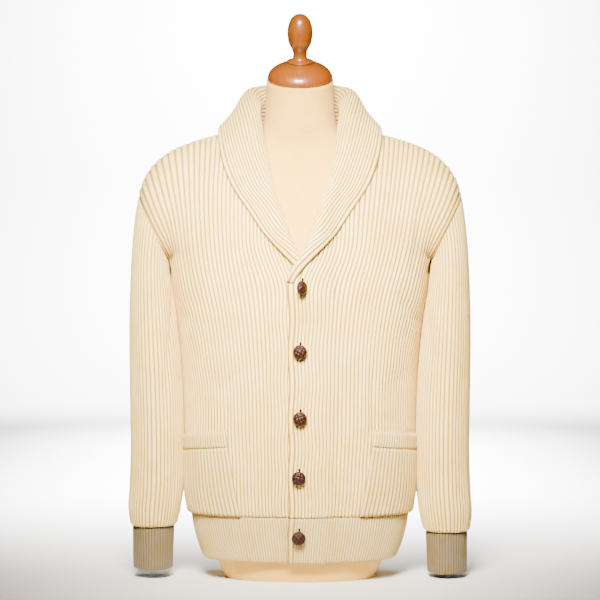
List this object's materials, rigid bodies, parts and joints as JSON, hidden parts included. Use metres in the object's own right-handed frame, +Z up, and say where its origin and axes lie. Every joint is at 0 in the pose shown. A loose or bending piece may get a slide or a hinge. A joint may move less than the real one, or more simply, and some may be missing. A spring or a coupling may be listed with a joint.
{
  "type": "shawl collar cardigan on a dress form",
  "caption": "Rib-knit shawl collar cardigan, buttoned, with patch pockets and woven leather buttons, on a limbless cotton dress form with a wooden neck cap.",
  "frame": {"origin": "middle of the dress form's flat base", "axes": "+Z up, -Y out of the chest, +X to the wearer's left"},
  "size_m": [0.547, 0.2804, 0.8932],
  "materials": {
    "wool": "matte cream rib-knit wool",
    "leather": "glossy brown woven leather",
    "cotton": "matte cream cotton cover",
    "wood": "glossy honey varnish"
  },
  "bodies": {
    "root": {"back": "wool", "front_left": "wool", "front_right": "wool", "sleeve_left": "wool", "sleeve_right": "wool", "cuff_left": "wool", "cuff_right": "wool", "hem_back": "wool", "hem_front_left": "wool", "hem_front_right": "wool", "pocket_left": "wool", "pocket_right": "wool", "pocket_welt_left": "wool", "pocket_welt_right": "wool", "collar": "wool", "button_1": "leather", "button_2": "leather", "button_3": "leather", "button_4": "leather", "button_5": "leather", "form": "cotton", "neck_cap": "wood", "finial": "wood"}
  },
  "joints": []
}
